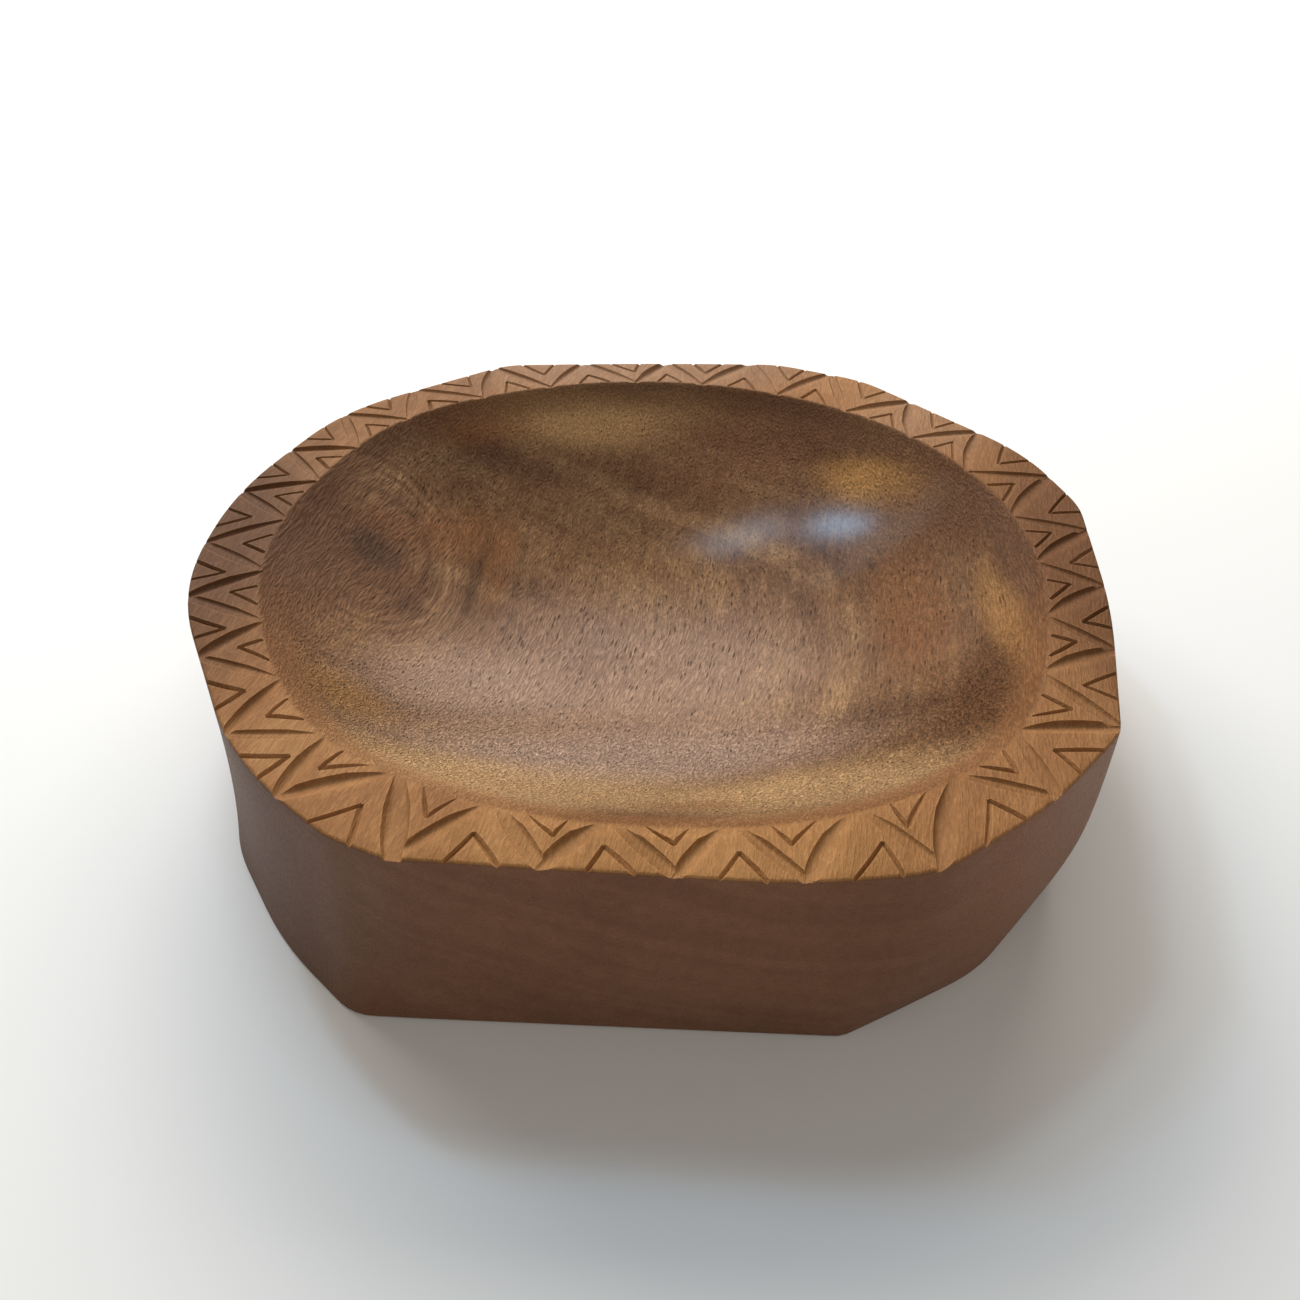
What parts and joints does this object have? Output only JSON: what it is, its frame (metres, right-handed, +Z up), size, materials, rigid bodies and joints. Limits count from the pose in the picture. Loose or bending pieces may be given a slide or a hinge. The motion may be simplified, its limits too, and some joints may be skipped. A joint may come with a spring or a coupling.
{
  "type": "carved wooden bowl",
  "caption": "Low, wide bowl carved from one block of wood, with a dished hollow, undercut ends, a flat foot and a level rim cut with zigzag teeth; holds fruit or small things.",
  "frame": {"origin": "a point on the flat foot under the middle of the bowl", "axes": "+X along the bowl, +Y across it away from its long straight front wall, +Z up out of the hollow"},
  "size_m": [0.2973, 0.2883, 0.066],
  "materials": {
    "oiled_wood": "satin, oiled"
  },
  "bodies": {
    "root": {"carved_bowl": "oiled_wood"}
  },
  "joints": []
}
